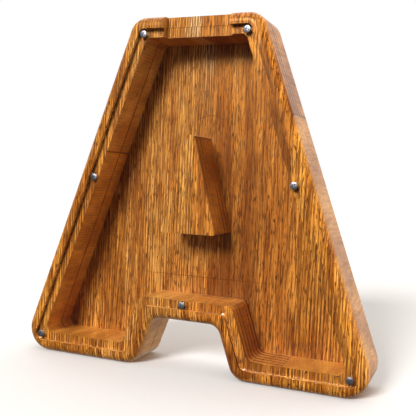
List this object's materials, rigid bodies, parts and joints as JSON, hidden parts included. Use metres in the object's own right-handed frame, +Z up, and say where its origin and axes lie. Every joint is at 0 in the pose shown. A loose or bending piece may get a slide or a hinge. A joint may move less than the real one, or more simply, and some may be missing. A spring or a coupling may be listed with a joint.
{
  "type": "wooden money box",
  "caption": "Letter-A coin bank in oak: slanted sides, notched base, central counter, clear front window held by pan-head screws, coin slot in the top wall.",
  "frame": {"origin": "middle of the footprint, on the surface that the two feet stand on", "axes": "+Z up, -Y out of the front through the window, +X to the right seen from the front"},
  "size_m": [0.2404, 0.041, 0.231],
  "materials": {
    "oak": "oiled satin, upright open grain",
    "clear_acrylic": "clear gloss acrylic sheet",
    "screw_steel": "bright zinc-plated"
  },
  "bodies": {
    "oak_body": {"left_outer_stave": "oak", "left_inner_stave": "oak", "right_inner_stave": "oak", "right_outer_stave": "oak"},
    "window": {"clear_window": "clear_acrylic"},
    "screw_top_left_body": {"screw_top_left": "screw_steel"},
    "screw_top_right_body": {"screw_top_right": "screw_steel"},
    "screw_middle_left_body": {"screw_middle_left": "screw_steel"},
    "screw_middle_right_body": {"screw_middle_right": "screw_steel"},
    "screw_bottom_left_body": {"screw_bottom_left": "screw_steel"},
    "screw_bottom_right_body": {"screw_bottom_right": "screw_steel"},
    "screw_notch_top_body": {"screw_notch_top": "screw_steel"}
  },
  "joints": [
    {"name": "window_lift_off", "type": "slide", "parent": "oak_body", "child": "window", "axis": [0, -1, 0], "range_m": [0, 0.08]},
    {"name": "screw_top_left_draw", "type": "slide", "parent": "window", "child": "screw_top_left_body", "axis": [0, -1, 0], "range_m": [0, 0.015]},
    {"name": "screw_top_right_draw", "type": "slide", "parent": "window", "child": "screw_top_right_body", "axis": [0, -1, 0], "range_m": [0, 0.015]},
    {"name": "screw_middle_left_draw", "type": "slide", "parent": "window", "child": "screw_middle_left_body", "axis": [0, -1, 0], "range_m": [0, 0.015]},
    {"name": "screw_middle_right_draw", "type": "slide", "parent": "window", "child": "screw_middle_right_body", "axis": [0, -1, 0], "range_m": [0, 0.015]},
    {"name": "screw_bottom_left_draw", "type": "slide", "parent": "window", "child": "screw_bottom_left_body", "axis": [0, -1, 0], "range_m": [0, 0.015]},
    {"name": "screw_bottom_right_draw", "type": "slide", "parent": "window", "child": "screw_bottom_right_body", "axis": [0, -1, 0], "range_m": [0, 0.015]},
    {"name": "screw_notch_top_draw", "type": "slide", "parent": "window", "child": "screw_notch_top_body", "axis": [0, -1, 0], "range_m": [0, 0.015]}
  ]
}
